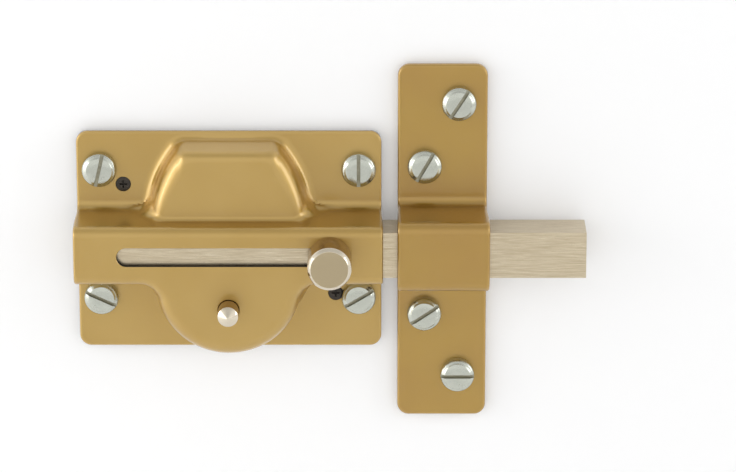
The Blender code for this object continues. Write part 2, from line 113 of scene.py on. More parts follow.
class BoltSizes(bpy.types.PropertyGroup):
    """Sizes of the pressed sheet and the turned parts."""

    cover_sheet: length("Cover sheet", "Thickness of the cover's sheet", 1.6)
    cover_edge: length("Cover edge", "Radius of the cover's rolled edge", 0.7)
    cover_corner: length("Corner", "Radius of the plates' corners", 3.8)
    mesh_step: length("Mesh step", "Spacing of points over the pressed sheet", 0.56)
    channel_half: length("Channel half height", "Half the channel's height at its front", 9.4)
    channel_foot: length("Channel foot", "Half the channel's height at the flange", 11.8)
    channel_edge: length("Channel edge", "Radius along the channel's front edges", 2.8)
    hump_front: length("Panel depth", "Distance of the raised panel off the door", 13.4)
    hump_top: length("Panel top", "Height of the raised panel's top edge", 32.3)
    hump_side: length("Panel side", "Radius of the raised panel's curved sides", 38.0)
    hump_side_x: length("Panel side centre", "How far past the middle each side's centre lies", 13.9)
    hump_side_z: length("Panel side height", "Height of the centres, under which sides are straight", 8.0)
    bulge_drop: length("Half-round drop", "How far the half-round's centre lies below the bar's", 10.2)
    bulge_radius: length("Half-round", "Radius of the half-round's wall", 23.4)
    bulge_edge: length("Half-round edge", "Radius along the half-round's rim", 4.7)
    slot_half: length("Slot half length", "Half the slot's length", 36.0)
    slot_half_width: length("Slot half width", "Half the slot's width", 3.1)
    button_hole: length("Button hole", "Radius of the button's hole", 3.5)
    screw_hole: length("Screw hole", "Radius of the wood screws' holes", 3.3)
    keeper_sheet: length("Keeper sheet", "Thickness of the keeper's strip", 2.75)
    keeper_edge: length("Keeper edge", "Radius of the keeper's rolled edge", 0.9)
    thread_pitch: length("Thread pitch", "Distance between the wood screws' threads", 2.4)
    knob_radius: length("Knob", "Radius of the knob", 7.1)
    knob_face: length("Knob face", "Radius of the knob's flat face", 6.1)


class BoltColours(bpy.types.PropertyGroup):
    """Colours of the finishes."""

    gilt: colour("Gilt", "Gold lacquer over steel", "#B6954A")
    gilt_deep: colour("Gilt, deep", "Gold lacquer where it lies thicker", "#B18F42")
    gilt_worn: colour("Gilt, edge", "Gold lacquer thinned along the edges", "#CBAB69")
    keeper_gilt: colour("Keeper gilt", "Gold lacquer on the keeper", "#AA8734")
    keeper_deep: colour("Keeper gilt, deep", "Gold lacquer on the keeper where it lies thicker", "#A68133")
    keeper_worn: colour("Keeper gilt, edge", "Gold lacquer thinned along the keeper's edges", "#B8964E")
    nickel: colour("Nickel", "Brushed nickel plate", "#DBCEB4")
    nickel_dark: colour("Nickel, streak", "Darker brush lines in the nickel", "#B4A487")
    nickel_face: colour("Knob face", "Matt nickel on the knob's face", "#AFA082")
    polished: colour("Polished nickel", "Polished nickel plate", "#DCD2BE")
    # Painted reflection: this nickel is darkened and warmed towards brown to paint in the gilt cover's
    # reflection on the knob's side and the button's neck.
    nickel_painted_reflection: colour("Knob side", "Warmer nickel on the sides of the knob and button", "#A89069")
    # Partly the bare unlacquered edge, partly painted shade: kept near black so that the walls of the slot
    # and of the button's hole read as shaded.
    edge_painted_shade: colour("Sheared edge", "Bare edge of the sheet where a hole is punched", "#1E1A16")
    zinc: colour("Zinc", "Bright zinc plate", "#C4C7BC")
    # Painted shade: the screws' slots get darker, duller zinc than the heads, standing in for the shade
    # inside them.
    zinc_painted_slot_shade: colour("Zinc, slots", "Zinc in the slots, dulled by drivers and lacquer", "#A6A38F")
    black: colour("Black", "Black oxide on the small screws", "#2A2622")
    rubbed: colour("Black, rubbed", "Black oxide where a driver has rubbed it", "#4A443C")
    steel: colour("Steel", "Plain rolled steel", "#9A9A98")
    spring: colour("Spring steel", "Blued spring steel", "#5D6470")
    nylon: colour("Nylon", "Natural nylon", "#E4E0D2")
    card: colour("Card", "White card that stands for the door", "#F5F5F5")
    floor: colour("Floor", "Pale floor", "#FCFCFC")


# ------------------------------------------------------------ meshes from whole arrays

def mesh_object(name, points, quads, triangles=None):
    """A smooth mesh object in world space from (x, z, depth) points in mm and index arrays of its faces."""
    world = np.stack([points[:, 0], -points[:, 2], points[:, 1]], axis=1) * MM
    faces = [quads] if triangles is None else [quads, triangles]
    corners = np.concatenate([part.ravel() for part in faces]).astype(np.int32)
    sizes = np.concatenate([np.full(len(part), part.shape[1], np.int32) for part in faces])
    starts = np.concatenate([[0], np.cumsum(sizes)[:-1]]).astype(np.int32)
    mesh = bpy.data.meshes.new(name)
    mesh.vertices.add(len(world))
    mesh.vertices.foreach_set("co", world.ravel())
    mesh.loops.add(len(corners))
    mesh.loops.foreach_set("vertex_index", corners)
    mesh.polygons.add(len(sizes))
    mesh.polygons.foreach_set("loop_start", starts)
    mesh.polygons.foreach_set("loop_total", sizes)
    mesh.update(calc_edges=True)
    mesh.validate()
    mesh.shade_smooth()
    made = bpy.data.objects.new(name, mesh)
    bpy.context.scene.collection.objects.link(made)
    return made


def capped_rings(name, rings, back_pole, front_pole):
    """A closed mesh of rings of points, from back to front, with a fan of faces to a pole at each end."""
    count, around = rings.shape[:2]
    step = np.arange(around)
    following = (step + 1) % around
    row = np.arange(count - 1)[:, None] * around
    bands = np.stack([row + step, row + following, row + around + following, row + around + step], -1)
    last = (count - 1) * around
    back = np.stack([following, step, np.full(around, count * around)], -1)
    front = np.stack([last + step, last + following, np.full(around, count * around + 1)], -1)
    points = np.concatenate([rings.reshape(-1, 3), [back_pole, front_pole]])
    return mesh_object(name, points, bands.reshape(-1, 4), np.concatenate([back, front]))


def turned(name, profile, x, z, sides=64, swell=None):
    """A closed surface of revolution about a line square to the door.

    Its points are (x + r cos t, z + r sin t, depth), where (r, depth) runs along the profile from the pole at
    the back to the pole at the front, and t goes once round. swell adds to r as a function of (t, depth).
    """
    profile = np.array(profile, float)
    radius, depth = profile[1:-1, 0][:, None], profile[1:-1, 1][:, None]
    turn = np.linspace(0, 2 * np.pi, sides, endpoint=False)[None, :]
    reach = radius + (swell(turn, depth) if swell else 0.0)
    rings = np.stack([x + reach * np.cos(turn), z + reach * np.sin(turn), depth + 0 * turn], -1)
    return capped_rings(name, rings, (x, z, profile[0, 1]), (x, z, profile[-1, 1]))


def arc(centre, radius, start, end, steps):
    """Points of an arc between two angles in degrees, as (r, depth) pairs."""
    angles = np.radians(np.linspace(start, end, steps + 1))
    return [(centre[0] + radius * math.cos(a), centre[1] + radius * math.sin(a)) for a in angles]


def sheet_shell(name, face, outward, thickness, edge):
    """A closed shell of bent sheet from its outer face, a grid of points with unit normals.

    The inner face lies one thickness behind the outer one. The rolled edge leaves the outer face as a quarter
    circle, rim + out edge sin(a) - normal edge (1 - cos(a)), runs straight, and comes back by the same rule.
    """
    rows, columns = face.shape[:2]
    grid = np.arange(rows * columns).reshape(rows, columns)
    rim = np.concatenate([grid[0, :-1], grid[:-1, -1], grid[-1, :0:-1], grid[:0:-1, 0]])
    flat, normal = face.reshape(-1, 3), outward.reshape(-1, 3)
    edge_point, edge_normal = flat[rim], normal[rim]
    along = np.roll(edge_point, -1, 0) - np.roll(edge_point, 1, 0)
    out = np.cross(along, edge_normal)
    out /= np.linalg.norm(out, axis=1, keepdims=True)
    quarter = np.radians([22.5, 45.0, 67.5, 90.0])
    steps = [(edge * math.sin(a), edge * (1 - math.cos(a))) for a in quarter]
    steps += [(reach, thickness - fall) for reach, fall in reversed(steps)]
    rings = [edge_point + out * reach - edge_normal * fall for reach, fall in steps]
    points = np.concatenate([flat, flat - normal * thickness, *rings])
    cells = np.stack([grid[:-1, :-1], grid[:-1, 1:], grid[1:, 1:], grid[1:, :-1]], -1).reshape(-1, 4)
    inner = cells[:, ::-1] + rows * columns
    first = 2 * rows * columns
    edges = [first + i * len(rim) + np.arange(len(rim)) for i in range(len(rings))]
    loops = [rim, *edges, rim + rows * columns]
    band = [np.stack([a, b, np.roll(b, -1), np.roll(a, -1)], -1) for a, b in zip(loops, loops[1:])]
    return mesh_object(name, points, np.concatenate([cells, inner, *band]))


def carve(piece, cutters):
    """Takes the cutters' shapes out of a piece and keeps only the result."""
    for cutter in cutters:
        cut = piece.modifiers.new("cut", "BOOLEAN")
        cut.operation = "DIFFERENCE"
        cut.object = cutter
    scene_state = bpy.context.evaluated_depsgraph_get()
    scene_state.update()
    result = bpy.data.meshes.new_from_object(piece.evaluated_get(scene_state))
    rough = piece.data
    piece.modifiers.clear()
    piece.data = result
    result.name = piece.name
    bpy.data.meshes.remove(rough)
    for cutter in cutters:
        bpy.data.objects.remove(cutter)


def face_centres(piece):
    """The middles of a mesh's faces as (x, z, depth) in millimetres."""
    middle = np.empty(len(piece.data.polygons) * 3, np.float32)
    piece.data.polygons.foreach_get("center", middle)
    return np.stack([middle[0::3], middle[2::3], -middle[1::3]], -1) / MM


def crisp(piece, degrees):
    """Smooth shading that stays sharp over an angle."""
    piece.data.shade_smooth()
    piece.data.set_sharp_from_angle(angle=math.radians(degrees))


def dress(piece, body, material_slot, materials, *replaced):
    """Gives a finished piece its finish, its body and the CAD nodes it stands for."""
    piece.data.materials.clear()
    for material in materials:
        piece.data.materials.append(material)
    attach(piece, body)
    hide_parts(*replaced)


def lip_steps(lip, front):
    """How far a rounded lip opens, at depths up to its front: lip (1 - cos a) at front - lip (1 - sin a)."""
    return [(lip * (1 - math.cos(a)), front - lip * (1 - math.sin(a))) for a in (0.52, 1.05, 1.57)]


def hole(x, z, radius, back, front, lip=0.0):
    """A cutter for a round hole, opening by a rounded lip at the front face."""
    profile = [(0, back), (radius, back), (radius, front - lip)]
    if lip:
        profile += [(radius + opened, depth) for opened, depth in lip_steps(lip, front)]
    profile += [(radius + lip, front + 1.0), (0, front + 1.0)]
    return turned("hole", profile, x, z, 48)


def slot_cutter(half, half_width, back, front, lip):
    """A cutter for a long slot with round ends.

    Its outline is (c + r cos t, r sin t), where c is the near end's centre and r grows by a lip at the front.
    """
    turn = np.linspace(0, 2 * np.pi, 96, endpoint=False)[None, :]
    steps = np.array([(0.0, back), (0.0, front - lip), *lip_steps(lip, front), (lip, front + 1.0)])
    reach, depth = half_width + steps[:, :1], steps[:, 1:]
    centre = np.where(np.cos(turn) >= 0, 1.0, -1.0) * (half - half_width)
    rings = np.stack([centre + reach * np.cos(turn), reach * np.sin(turn), depth + 0 * turn], -1)
    return capped_rings("slot", rings, (0, 0, back), (0, 0, front + 1.0))


BOX_FACES = np.array([(3, 2, 1, 0), (4, 5, 6, 7), (0, 1, 5, 4), (1, 2, 6, 5), (2, 3, 7, 6), (3, 0, 4, 7)])


def block_cutter(name, x, z, levels):
    """A four-sided cutter about a point, from (depth, half width, half height) at its back and its front."""
    corners = np.array([
        (x + sx * wide, z + sz * high, depth)
        for depth, wide, high in levels for sx, sz in ((-1, -1), (1, -1), (1, 1), (-1, 1))
    ])
    return mesh_object(name, corners, BOX_FACES)


# ------------------------------------------------------------ the pressed cover as a field of distances

def ease(value):
    """Goes smoothly from 0 to 1 as value goes from 0 to 1."""
    value = np.clip(value, 0, 1)
    return value * value * (3 - 2 * value)


def fillet_join(first, second, radius):
    """Joins two solids, given as distances, with a fillet: the circle of that radius that touches both."""
    hollow = np.hypot(np.maximum(radius - first, 0), np.maximum(radius - second, 0))
    return np.maximum(radius, np.minimum(first, second)) - hollow


def rounded_edge(side, top, radius):
    """The solid behind two walls, given as distances, with its outer edge rounded to a radius."""
    side, top = side + radius, top + radius
    return np.minimum(np.maximum(side, top), 0) + np.hypot(np.maximum(side, 0), np.maximum(top, 0)) - radius


BULGE_DRAFT = 0.035             # how much each wall leans out for each millimetre down to the flange
PANEL_SIDE_DRAFT, PANEL_TOP_DRAFT = 0.25, 0.3
BULGE_FILLET = 5.0              # between the channel's and the half-round's walls
PANEL_CORNER = 1.6              # where the panel's sides meet its top
PANEL_FOOT, PANEL_TOP_FOOT = 2.6, 1.1
CHANNEL_FILLET = 2.3            # all along the channel's foot


def cover_field(point, sizes):
    """Distance to the cover's outer face: flange and panel, joined to the channel with its half-round.

    Every wall is a plane or a cylinder, leaning out by its draft. Walls meet each other and the fronts by
    arcs, whose radii change slowly from one stretch to the next.
    """
    x, z, depth = np.abs(point[..., 0]), point[..., 1], point[..., 2]
    front, flange = COVER.front, COVER.back + sizes.cover_sheet
    channel_draft = (sizes.channel_foot - sizes.channel_half) / (front - flange)
    channel = np.abs(z) - sizes.channel_half - (front - depth) * channel_draft
    below = np.hypot(x, np.minimum(z + sizes.bulge_drop, 0))
    round_wall = np.maximum(below - sizes.bulge_radius - (front - depth) * BULGE_DRAFT, z + 2.0)
    outline = fillet_join(channel, round_wall, BULGE_FILLET)
    edge = sizes.channel_edge + (sizes.bulge_edge - sizes.channel_edge) * ease(channel / 6.0)
    main = rounded_edge(outline, depth - front, edge)

    fall = sizes.hump_front - depth
    side = np.hypot(x + sizes.hump_side_x, np.maximum(z - sizes.hump_side_z, 0)) - sizes.hump_side
    side, top = side - fall * PANEL_SIDE_DRAFT, z - sizes.hump_top - fall * PANEL_TOP_DRAFT
    over_top = ease((top - side) / 6.0 + 0.5)
    panel_outline = rounded_edge(side, top, PANEL_CORNER)
    rim = 3.0 + 1.8 * ease((z - 12.0) / 14.0) * (1 - 1.5 * over_top)
    panel = np.maximum(rounded_edge(panel_outline, -fall, rim), -z)
    plate = fillet_join(depth - flange, panel, PANEL_FOOT - (PANEL_FOOT - PANEL_TOP_FOOT) * over_top)

    beside_panel = ease(1 - np.abs(panel_outline) / 9.0) * ease((12.4 - depth) / 4.0)
    beside_panel = beside_panel * ease((depth - flange) / 1.6)
    on_panel = ease((depth - 11.0) / 2.0) * ease(-panel_outline / 3.0)
    under_bulge = ease((-14.0 - z) / 8.0)
    return fillet_join(plate, main, CHANNEL_FILLET + 3.6 * beside_panel - 1.0 * on_panel - 0.9 * under_bulge)


def field_slope(field, point, step=0.01):
    """The field's gradient by central differences."""
    slope = np.empty_like(point)
    for axis in range(3):
        shift = np.zeros(3)
        shift[axis] = step
        slope[..., axis] = (field(point + shift) - field(point - shift)) / (2 * step)
    return slope


def drop_onto(field, x, z, start, steps=90):
    """Depths at which lines square to the door meet a field, found by stepping down by the distance left."""
    depth = np.full_like(x, start)
    for _ in range(steps):
        depth -= 0.85 * field(np.stack([x, z, depth], -1))
    return depth


def corner_rows(low, high, radius, middle_rows):
    """Row heights and insets that trace two rounded corners: height r (1 - cos a), inset r (1 - sin a)."""
    angle = np.radians(np.linspace(0, 90, 9))[:-1]
    rise, inset = radius * (1 - np.cos(angle)), radius * (1 - np.sin(angle))
    heights = np.concatenate([low + rise, middle_rows, (high - rise)[::-1]])
    return heights, np.concatenate([inset, np.zeros(len(middle_rows)), inset[::-1]])


def cover_sheet(sizes):
    """The cover's outer face as a grid of points, with its normals.

    Rows are spaced evenly along the channel's section. Then the whole net is relaxed: each point moves to
    the mean of its four neighbours and back onto the face, so that the walls of the panel and the half-round
    get as many points as the flat parts.
    """
    def field(point):
        return cover_field(point, sizes)

    edge, step = sizes.cover_edge, sizes.mesh_step
    corner = sizes.cover_corner - edge
    low, high = COVER.bottom + edge, COVER.top - edge
    dense = np.linspace(low + corner, high - corner, 6000)
    section = drop_onto(field, np.full_like(dense, COVER.right - 1.0), dense, COVER.front + 2.0)
    travelled = np.concatenate([[0], np.cumsum(np.hypot(np.diff(dense), np.diff(section)))])
    even = np.interp(np.linspace(0, travelled[-1], round(travelled[-1] / step) + 1), travelled, dense)
    heights, inset = corner_rows(low, high, corner, even)
    across = np.linspace(-1, 1, round((COVER.right - COVER.left) / step) + 1)
    z = np.repeat(heights[:, None], len(across), 1)
    depth = drop_onto(field, np.full_like(heights, COVER.right - 1.0), heights, COVER.front + 2.0)
    half = COVER.right - edge - 0.45 * (1 - ease((depth - 4.0) / 12.0)) - inset
    x = across[None, :] * half[:, None]
    net = np.stack([x, z, drop_onto(field, x, z, COVER.front + 2.0)], -1)
    rounds = 420
    for _ in range(rounds):
        inner = (net[:-2, 1:-1] + net[2:, 1:-1] + net[1:-1, :-2] + net[1:-1, 2:]) / 4
        slope = field_slope(field, inner)
        inner -= slope * (field(inner) / (slope ** 2).sum(-1))[..., None]
        net[1:-1, 1:-1] = inner
    normal = field_slope(field, net)
    normal /= np.linalg.norm(normal, axis=-1, keepdims=True)
    return net, normal


def build_cover(sizes, finishes):
    """The cover is pressed, then the slot, the button's hole and the screws' holes are punched through it."""
    net, normal = cover_sheet(sizes)
    shell = sheet_shell("cover_pressing", net, normal, sizes.cover_sheet, sizes.cover_edge)
    front, inside = COVER.front, COVER.front - sizes.cover_sheet
    flange = COVER.back + sizes.cover_sheet
    cutters = [
        slot_cutter(sizes.slot_half, sizes.slot_half_width, inside - 1, front, 0.25),
        hole(BUTTON.x, BUTTON.z, sizes.button_hole, inside - 1, front, lip=0.15),
    ]
    for name in CASE_SCREWS:
        screw = Extent(name)
        cutters.append(hole(screw.x, screw.z, sizes.screw_hole, COVER.back - 1, flange))
    for name in COVER_SCREWS:
        screw = Extent(name)
        cutters.append(turned("countersink", [
            (0, COVER.back - 1), (1.75, COVER.back - 1), (1.75, flange - 0.95),
            (2.55, flange), (2.55, flange + 1), (0, flange + 1),
        ], screw.x, screw.z, 40))
    carve(shell, cutters)
    crisp(shell, 26)
    dress(shell, "case", "gilt_lacquer", [finishes["gilt"], finishes["edge_painted_shade"]], "case_cover")
    middle = face_centres(shell)
    slot_end = np.maximum(np.abs(middle[:, 0]) - sizes.slot_half + sizes.slot_half_width, 0)
    in_slot = np.hypot(slot_end, middle[:, 1]) < sizes.slot_half_width + 0.2
    in_hole = np.hypot(middle[:, 0] - BUTTON.x, middle[:, 1] - BUTTON.z) < sizes.button_hole + 0.3
    # The walls of the slot and of the button's hole take the near-black edge finish, partly bare steel and
    # partly painted shade.
    punched = (in_slot | in_hole) & (middle[:, 2] < front - 0.16)
    shell.data.polygons.foreach_set("material_index", punched.astype(np.int32))


# ------------------------------------------------------------ keeper

def bent_path(corners, radii, step):
    """A path through corners with an arc at each inner one, as evenly spaced points."""
    corners = np.array(corners, float)
    path = [corners[0]]
    for before, here, after, radius in zip(corners, corners[1:], corners[2:], radii):
        back, ahead = before - here, after - here
        back, ahead = back / np.hypot(*back), ahead / np.hypot(*ahead)
        half = math.acos(np.clip(back @ ahead, -1, 1)) / 2
        middle = here + (back + ahead) / np.hypot(*(back + ahead)) * radius / math.sin(half)
        tangent = radius / math.tan(half)
        start, end = here + back * tangent - middle, here + ahead * tangent - middle
        share = np.linspace(0, 1, 25)[:, None]
        sweep = math.pi - 2 * half
        blend = (np.sin((1 - share) * sweep) * start + np.sin(share * sweep) * end) / math.sin(sweep)
        path.append(middle + blend)
    path = np.vstack([*path, corners[-1]])
    travelled = np.concatenate([[0], np.cumsum(np.hypot(*np.diff(path, axis=0).T))])
    even = np.linspace(0, travelled[-1], round(travelled[-1] / step) + 1)
    return np.stack([np.interp(even, travelled, path[:, i]) for i in (0, 1)], -1)


def build_keeper(sizes, finishes):
    """The keeper's outer face is its bent section carried along X: point(u, v) = (u half width, section(v)).

    The half width is drawn in at both ends by the corners' arcs, and is a little more over the bridge, where
    bending has spread the strip.
    """
    edge, sheet = sizes.keeper_edge, sizes.keeper_sheet
    corner = sizes.cover_corner - edge
    low, high = KEEPER.bottom + edge, KEEPER.top - edge
    section = bent_path([
        (low + corner, sheet), (-12.8, sheet), (-11.5, KEEPER.front),
        (11.5, KEEPER.front), (12.8, sheet), (high - corner, sheet),
    ], (2.6, 3.6, 3.6, 2.6), 0.5)
    heights, inset = corner_rows(low, high, corner, section[:, 0])
    depths = np.concatenate([np.full(8, sheet), section[:, 1], np.full(8, sheet)])
    half = (KEEPER.right - KEEPER.left) / 2 - edge - inset
    across = np.linspace(-1, 1, 53)[None, :]
    spread = ease((depths - 5.0) / 14.0)
    right, left = half + 0.6 * spread, half + 0.15 * spread
    x = KEEPER.x + np.where(across > 0, across * right[:, None], across * left[:, None])
    face = np.stack([x, heights[:, None] + 0 * x, depths[:, None] + 0 * x], -1)
    along = np.gradient(np.stack([heights, depths], -1), axis=0)
    normal = np.stack([0 * heights, -along[:, 1], along[:, 0]], -1)
    normal /= np.linalg.norm(normal, axis=1, keepdims=True)
    normal = np.repeat(normal[:, None, :], across.size, 1)
    strip = sheet_shell("keeper_pressing", face, normal, sheet, edge)
    screws = [Extent(name) for name in KEEPER_SCREWS]
    carve(strip, [hole(screw.x, screw.z, sizes.screw_hole, -1, sheet) for screw in screws])
    crisp(strip, 26)
    dress(strip, "case", "gilt_lacquer", [finishes["keeper"]], "keeper")


# ------------------------------------------------------------ screws

# Each wood screw with the way its slot points, in degrees from X.
CASE_SCREWS = {
    "case_screw_upper_left": 77, "case_screw_upper_right": 90,
    "case_screw_lower_left": -25, "case_screw_lower_right": 31,
}
KEEPER_SCREWS = {
    "keeper_screw_top": 57, "keeper_screw_upper": 60, "keeper_screw_lower": 34, "keeper_screw_bottom": 0,
}
SEAT_GAP = 0.02                 # under the wood screws' heads
COVER_SCREWS = ("cover_screw_upper", "cover_screw_lower")


def wood_screw(sizes, reach):
    """A slotted pan-head wood screw, its seat at depth 0 and its axis on the origin.

    The shank's radius is the root's, plus a sharp ridge that turns once round for each pitch of depth and
    fades out at the point and under the head.
    """
    root, crest, head, rise = 1.85, 2.72, 5.6, 3.55
    pitch = sizes.thread_pitch

    def ridge(turn, depth):
        phase = np.mod(depth / pitch - turn / (2 * np.pi), 1.0)
        height = np.maximum(1 - np.abs(phase - 0.5) / 0.28, 0) * (crest - root)
        along = ease((depth + reach - 0.6) / 4.0) * ease((-2.5 - depth) / 2.0)
        return height * along

    shank = np.linspace(-reach + 0.3, -2.5, int((reach - 2.5) / pitch * 9))
    profile = [(0, -reach)]
    profile += [(root * min(1.0, (depth + reach) / 5.0) + 0.12, depth) for depth in shank]
    profile += [(crest, -1.6), (crest, 0.0), (head - 0.3, 0.0)]
    profile += arc((head - 0.3, 0.3), 0.3, -60, 0, 3)
    profile += [(head, 1.0), (head, 1.7)]
    profile += arc((head - 1.25, 1.9), 1.25, 0, 62, 6)
    profile += [(4.45, rise - 0.32), (4.3, rise - 0.12), (4.1, rise), (2.0, rise), (0, rise)]
    screw = turned("screw", profile, 0, 0, 48, ridge)
    half, floor = 0.58, rise - 1.3
    carve(screw, [block_cutter("driver_slot", 0, 0, ((floor, 8.0, half), (rise + 1, 8.0, half)))])
    across, depth = np.abs(face_centres(screw)[:, 1]), face_centres(screw)[:, 2]
    # Faces in the slot take the second finish, darker zinc that paints in the slot's shade.
    in_slot = (across < half + 0.01) & (depth < rise - 0.02) & (depth > floor - 0.01)
    screw.data.polygons.foreach_set("material_index", in_slot.astype(np.int32))
    return screw


def build_wood_screws(sizes, finishes):
    """The eight wood screws are copies of one pattern, each at its own hole and turned its own way."""
    cover_seat = COVER.back + sizes.cover_sheet + SEAT_GAP
    keeper_seat = sizes.keeper_sheet + SEAT_GAP
    pattern = wood_screw(sizes, cover_seat - Extent(next(iter(CASE_SCREWS))).back)
    slot_faces = np.empty(len(pattern.data.polygons), np.int32)
    pattern.data.polygons.foreach_get("material_index", slot_faces)
    for names, seat in ((CASE_SCREWS, cover_seat), (KEEPER_SCREWS, keeper_seat)):
        for name, turn in names.items():
            place = Extent(name)
            mesh = pattern.data.copy()
            at_hole = Matrix.Translation((place.x * MM, -seat * MM, place.z * MM))
            mesh.transform(at_hole @ Matrix.Rotation(-math.radians(turn), 4, "Y"))
            screw = bpy.data.objects.new(f"{name}_threaded", mesh)
            bpy.context.scene.collection.objects.link(screw)
            crisp(screw, 32)
            dress(screw, "case", "zinc_plate", [finishes["zinc"], finishes["zinc_painted_slot_shade"]], name)
            screw.data.polygons.foreach_set("material_index", slot_faces)
    bpy.data.objects.remove(pattern)


def build_cover_screws(sizes, finishes):
    """Countersunk screws with a cross recess that narrows to its floor."""
    seat = COVER.back + sizes.cover_sheet
    for name in COVER_SCREWS:
        place = Extent(name)
        head = [(0, place.back), (1.5, place.back), (1.5, seat - 0.95), (2.35, seat - 0.12)]
        head += [(2.42, seat - 0.03), (2.3, seat + 0.02), (1.2, seat + 0.06), (0, seat + 0.06)]
        screw = turned(f"{name}_recessed", head, place.x, place.z, 48)
        arms = []
        for wide, high in ((1.45, 0.28), (0.28, 1.45)):
            levels = ((seat - 1.0, wide * 0.55, high * 0.55), (seat + 0.5, wide, high))
            arms.append(block_cutter("recess_arm", place.x, place.z, levels))
        carve(screw, arms)
        crisp(screw, 30)
        dress(screw, "case", "black_oxide", [finishes["black"]], name)


# ------------------------------------------------------------ knob and button

def by_depth(piece, *depths):
    """Gives faces the piece's next finish each time they lie in front of another of the depths."""
    passed = face_centres(piece)[:, 2][:, None] > np.array(depths)[None, :]
    piece.data.polygons.foreach_set("material_index", passed.sum(1).astype(np.int32))


def build_knob(sizes, finishes):
    """The knob: a straight side, a polished chamfer and a brushed face."""
    outer, face, front = sizes.knob_radius, sizes.knob_face, KNOB.front
    back = COVER.front + 0.15
    profile = [(0, back), (outer - 0.35, back)] + arc((outer - 0.35, back + 0.35), 0.35, -60, 0, 4)
    profile += [(outer, back + 2.0), (outer, front - 2.0), (outer, front - 1.06)]
    profile += [(outer - 0.05, front - 0.96), (face + 0.1, front - 0.11), (face + 0.02, front - 0.03)]
    profile += [(face - 0.08, front), (4.0, front), (2.0, front), (0, front)]
    knob = turned("knob_turning", profile, KNOB.x, KNOB.z, 128)
    crisp(knob, 24)
    # The side and back take the nickel with the painted reflection of the gilt cover; the chamfer is polished
    # and the face brushed.
    materials = [finishes["side_painted_reflection"], finishes["polished"], finishes["brushed_face"]]
    dress(knob, "bar", "brushed_nickel", materials, "knob")
    by_depth(knob, front - 1.05, front - 0.01)


def build_button(sizes, finishes):
    """The pointed button: a stem, a groove for the clip, a straight neck and a cone with a softened tip."""
    tip = BUTTON.front
    shoulder, neck = tip - 2.1, sizes.button_hole - 0.12
    profile = [(0, BUTTON.back), (1.0, BUTTON.back), (2.0, 14.2), (2.0, 16.5), (3.25, 16.5), (3.3, 16.6)]
    profile += [(3.3, 17.4), (2.6, 17.4), (2.6, 18.7), (neck, 18.7), (neck, 20.0), (neck, 24.0)]
    profile += [(neck - 0.04, shoulder - 0.25)]
    profile += arc((neck - 0.29, shoulder - 0.25), 0.25, 10, 50, 3)
    profile += [(2.4, shoulder + 0.52), (1.4, shoulder + 1.22), (0.75, tip - 0.38), (0.45, tip - 0.17)]
    profile += [(0.25, tip - 0.06), (0, tip)]
    button = turned("button_turning", profile, BUTTON.x, BUTTON.z, 96)
    crisp(button, 35)
    # The stem and neck take the nickel with the painted reflection of the gilt cover; the cone in front of
    # the shoulder is polished.
    dress(button, "button", "brushed_nickel", [finishes["side_painted_reflection"], finishes["polished"]], "push_button")
    by_depth(button, shoulder - 0.2)


# ------------------------------------------------------------ finishes

def add_node(tree, kind, values=None, links=None, **settings):
    """Adds one shader node: settings are its own, values go to sockets, links are (node, output) pairs."""
    made = tree.nodes.new(kind)
    for name, value in settings.items():
        setattr(made, name, value)
    for socket, value in (values or {}).items():
        made.inputs[socket].default_value = value
    for socket, (source, output) in (links or {}).items():
        tree.links.new(source.outputs[output], made.inputs[socket])
    return made


def new_finish(name):
    """A material with only its shader, and the link that puts a pattern on the piece's own coordinates."""
    material = bpy.data.materials.new(name)
    material.use_nodes = True
    tree = material.node_tree
    tree.nodes.clear()
    shader = tree.nodes.new("ShaderNodeBsdfPrincipled")
    output = tree.nodes.new("ShaderNodeOutputMaterial")
    tree.links.new(shader.outputs["BSDF"], output.inputs["Surface"])
    return material, tree, shader, {"Vector": (tree.nodes.new("ShaderNodeTexCoord"), "Object")}


def per_mm(size):
    """The noise scale that gives features of a size in millimetres, on coordinates in metres."""
    return 1.0 / (size * MM)


def gilt_lacquer(name, thin, thick, worn_through):
    """Gold-tinted lacquer sprayed over pressed steel: a satin metal with a faint orange peel, a slow drift of
    colour where the lacquer lies thicker, and a paler line where it thins along the bends."""
    material, tree, shader, on_piece = new_finish(name)
    drift = add_node(tree, "ShaderNodeTexNoise", {"Scale": per_mm(28), "Detail": 2.0}, on_piece)
    share = add_node(
        tree, "ShaderNodeMapRange", {"From Min": 0.35, "From Max": 0.65}, {"Value": (drift, "Fac")},
    )
    tint = add_node(
        tree, "ShaderNodeMix", {"A": thin, "B": thick}, {"Factor": (share, "Result")}, data_type="RGBA",
    )
    bend = add_node(tree, "ShaderNodeNewGeometry")
    worn = add_node(
        tree, "ShaderNodeMapRange", {"From Min": 0.515, "From Max": 0.56, "To Max": 0.5},
        {"Value": (bend, "Pointiness")},
    )
    face = add_node(
        tree, "ShaderNodeMix", {"B": worn_through}, {"A": (tint, "Result"), "Factor": (worn, "Result")},
        data_type="RGBA",
    )
    tree.links.new(face.outputs["Result"], shader.inputs["Base Color"])
    peel = add_node(tree, "ShaderNodeTexNoise", {"Scale": per_mm(0.9), "Detail": 3.0}, on_piece)
    rough = add_node(tree, "ShaderNodeMapRange", {"To Min": 0.33, "To Max": 0.43}, {"Value": (peel, "Fac")})
    tree.links.new(rough.outputs["Result"], shader.inputs["Roughness"])
    bump = add_node(tree, "ShaderNodeBump", {"Strength": 0.05, "Distance": 0.0001}, {"Height": (peel, "Fac")})
    tree.links.new(bump.outputs["Normal"], shader.inputs["Normal"])
    shader.inputs["Metallic"].default_value = 0.82
    shader.inputs["Coat Weight"].default_value = 0.9
    shader.inputs["Coat Roughness"].default_value = 0.15
    shader.inputs["Coat IOR"].default_value = 1.65
    return material


